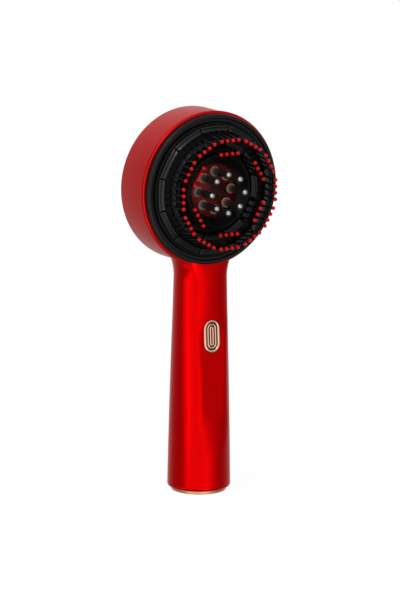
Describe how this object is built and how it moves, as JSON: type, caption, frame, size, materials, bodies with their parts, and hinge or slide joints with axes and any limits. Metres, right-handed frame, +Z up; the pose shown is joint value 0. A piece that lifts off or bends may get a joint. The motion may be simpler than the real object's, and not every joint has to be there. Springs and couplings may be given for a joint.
{
  "type": "electric scalp massager",
  "caption": "Handheld electric scalp massager: round drum head with a pull-off bristle brush, a central oil cartridge with roller-ball nozzles, tapered grip with a push button and a flat foot.",
  "frame": {"origin": "centre of the flat foot ring at the base, on the axis of the grip, where the charging port's axis crosses the plane that the foot stands on", "axes": "+Z up the grip to the head, bristles and button face -Y, +X to the right as seen from the front"},
  "size_m": [0.085, 0.048, 0.2106],
  "materials": {
    "red_shell": "metallic red lacquer, glossy on the grip and satin on the drum",
    "black_abs": "satin",
    "grey_abs": "matte",
    "black_silicone": "satin silicone",
    "red_silicone": "satin",
    "grey_rubber": "matte",
    "rose_gold": "polished rose gold plating",
    "steel": "plain",
    "ball_steel": "polished",
    "brass_weight": "plain",
    "clear_plastic": "clear plastic, slightly smoked",
    "red_cup": "translucent red",
    "red_lens": "translucent red",
    "white_board": "white solder mask",
    "green_board": "green solder mask",
    "led": "clear dome",
    "cell": "blue shrink sleeve",
    "red_wire": "PVC sleeve",
    "copper_wire": "enamel",
    "white_wire": "PVC sleeve"
  },
  "bodies": {
    "handle": {"main_housing": "red_shell", "rear_cover": "red_shell", "rear_cover_gasket": "grey_rubber", "front_bezel": "black_abs", "head_chassis": "grey_abs", "chassis_screws": "steel", "light_window": "red_lens", "led_board": "white_board", "leds": "led", "motor_can": "steel", "motor_bracket": "steel", "bracket_screws": "steel", "button_bezel": "rose_gold", "button_gasket": "grey_rubber", "tact_switch": "grey_abs", "main_board": "green_board", "board_components": "grey_abs", "battery_cell": "cell", "battery_tabs": "steel", "battery_cradle": "grey_abs", "charge_board": "green_board", "charge_port": "steel", "battery_leads": "red_wire", "motor_leads": "copper_wire", "led_leads": "white_wire", "base_ring": "rose_gold", "base_plug": "black_abs", "base_screws": "steel"},
    "rotor": {"motor_shaft": "steel", "eccentric_weight": "brass_weight"},
    "brush_head": {"brush_carrier": "black_abs", "brush_pad": "black_silicone", "outer_bristles": "black_silicone", "outer_bristle_tips": "red_silicone", "inner_bristles": "black_silicone", "inner_bristle_tips": "red_silicone"},
    "cartridge": {"oil_cup": "red_cup", "cartridge_oring": "grey_rubber"},
    "cartridge_lid": {"cartridge_collar": "black_abs", "cartridge_cover": "clear_plastic", "nozzle_tubes": "clear_plastic", "nozzle_springs": "steel", "cup_gasket": "grey_rubber"},
    "button": {"button_cap": "rose_gold", "switch_plunger": "black_abs"},
    "ball_1": {"roller_ball_1": "ball_steel"},
    "ball_2": {"roller_ball_2": "ball_steel"},
    "ball_3": {"roller_ball_3": "ball_steel"},
    "ball_4": {"roller_ball_4": "ball_steel"},
    "ball_5": {"roller_ball_5": "ball_steel"},
    "ball_6": {"roller_ball_6": "ball_steel"},
    "ball_7": {"roller_ball_7": "ball_steel"},
    "ball_8": {"roller_ball_8": "ball_steel"}
  },
  "joints": [
    {"name": "button_press", "type": "slide", "parent": "handle", "child": "button", "axis": [0, 0.9978, -0.0669], "range_m": [0, 0.0005], "stiffness_N_per_m": 1500, "springref_m": -0.0005},
    {"name": "motor_spin", "type": "hinge", "parent": "handle", "child": "rotor", "pos_m": [0, 0.0055, 0.1436], "axis": [1, 0, 0], "continuous": true},
    {"name": "brush_release", "type": "slide", "parent": "handle", "child": "brush_head", "axis": [0, -1, 0], "range_m": [0, 0.03]},
    {"name": "cartridge_release", "type": "slide", "parent": "handle", "child": "cartridge", "axis": [0, -1, 0], "range_m": [0, 0.03]},
    {"name": "lid_release", "type": "slide", "parent": "cartridge", "child": "cartridge_lid", "axis": [0, -1, 0], "range_m": [0, 0.03]},
    {"name": "ball_1_press", "type": "slide", "parent": "cartridge_lid", "child": "ball_1", "axis": [0, 1, 0], "range_m": [0, 0.0004], "stiffness_N_per_m": 400, "springref_m": -0.0008, "deforming": ["nozzle_springs"]},
    {"name": "ball_2_press", "type": "slide", "parent": "cartridge_lid", "child": "ball_2", "axis": [0, 1, 0], "range_m": [0, 0.0004], "stiffness_N_per_m": 400, "springref_m": -0.0008, "deforming": ["nozzle_springs"]},
    {"name": "ball_3_press", "type": "slide", "parent": "cartridge_lid", "child": "ball_3", "axis": [0, 1, 0], "range_m": [0, 0.0004], "stiffness_N_per_m": 400, "springref_m": -0.0008, "deforming": ["nozzle_springs"]},
    {"name": "ball_4_press", "type": "slide", "parent": "cartridge_lid", "child": "ball_4", "axis": [0, 1, 0], "range_m": [0, 0.0004], "stiffness_N_per_m": 400, "springref_m": -0.0008, "deforming": ["nozzle_springs"]},
    {"name": "ball_5_press", "type": "slide", "parent": "cartridge_lid", "child": "ball_5", "axis": [0, 1, 0], "range_m": [0, 0.0004], "stiffness_N_per_m": 400, "springref_m": -0.0008, "deforming": ["nozzle_springs"]},
    {"name": "ball_6_press", "type": "slide", "parent": "cartridge_lid", "child": "ball_6", "axis": [0, 1, 0], "range_m": [0, 0.0004], "stiffness_N_per_m": 400, "springref_m": -0.0008, "deforming": ["nozzle_springs"]},
    {"name": "ball_7_press", "type": "slide", "parent": "cartridge_lid", "child": "ball_7", "axis": [0, 1, 0], "range_m": [0, 0.0004], "stiffness_N_per_m": 400, "springref_m": -0.0008, "deforming": ["nozzle_springs"]},
    {"name": "ball_8_press", "type": "slide", "parent": "cartridge_lid", "child": "ball_8", "axis": [0, 1, 0], "range_m": [0, 0.0004], "stiffness_N_per_m": 400, "springref_m": -0.0008, "deforming": ["nozzle_springs"]}
  ]
}
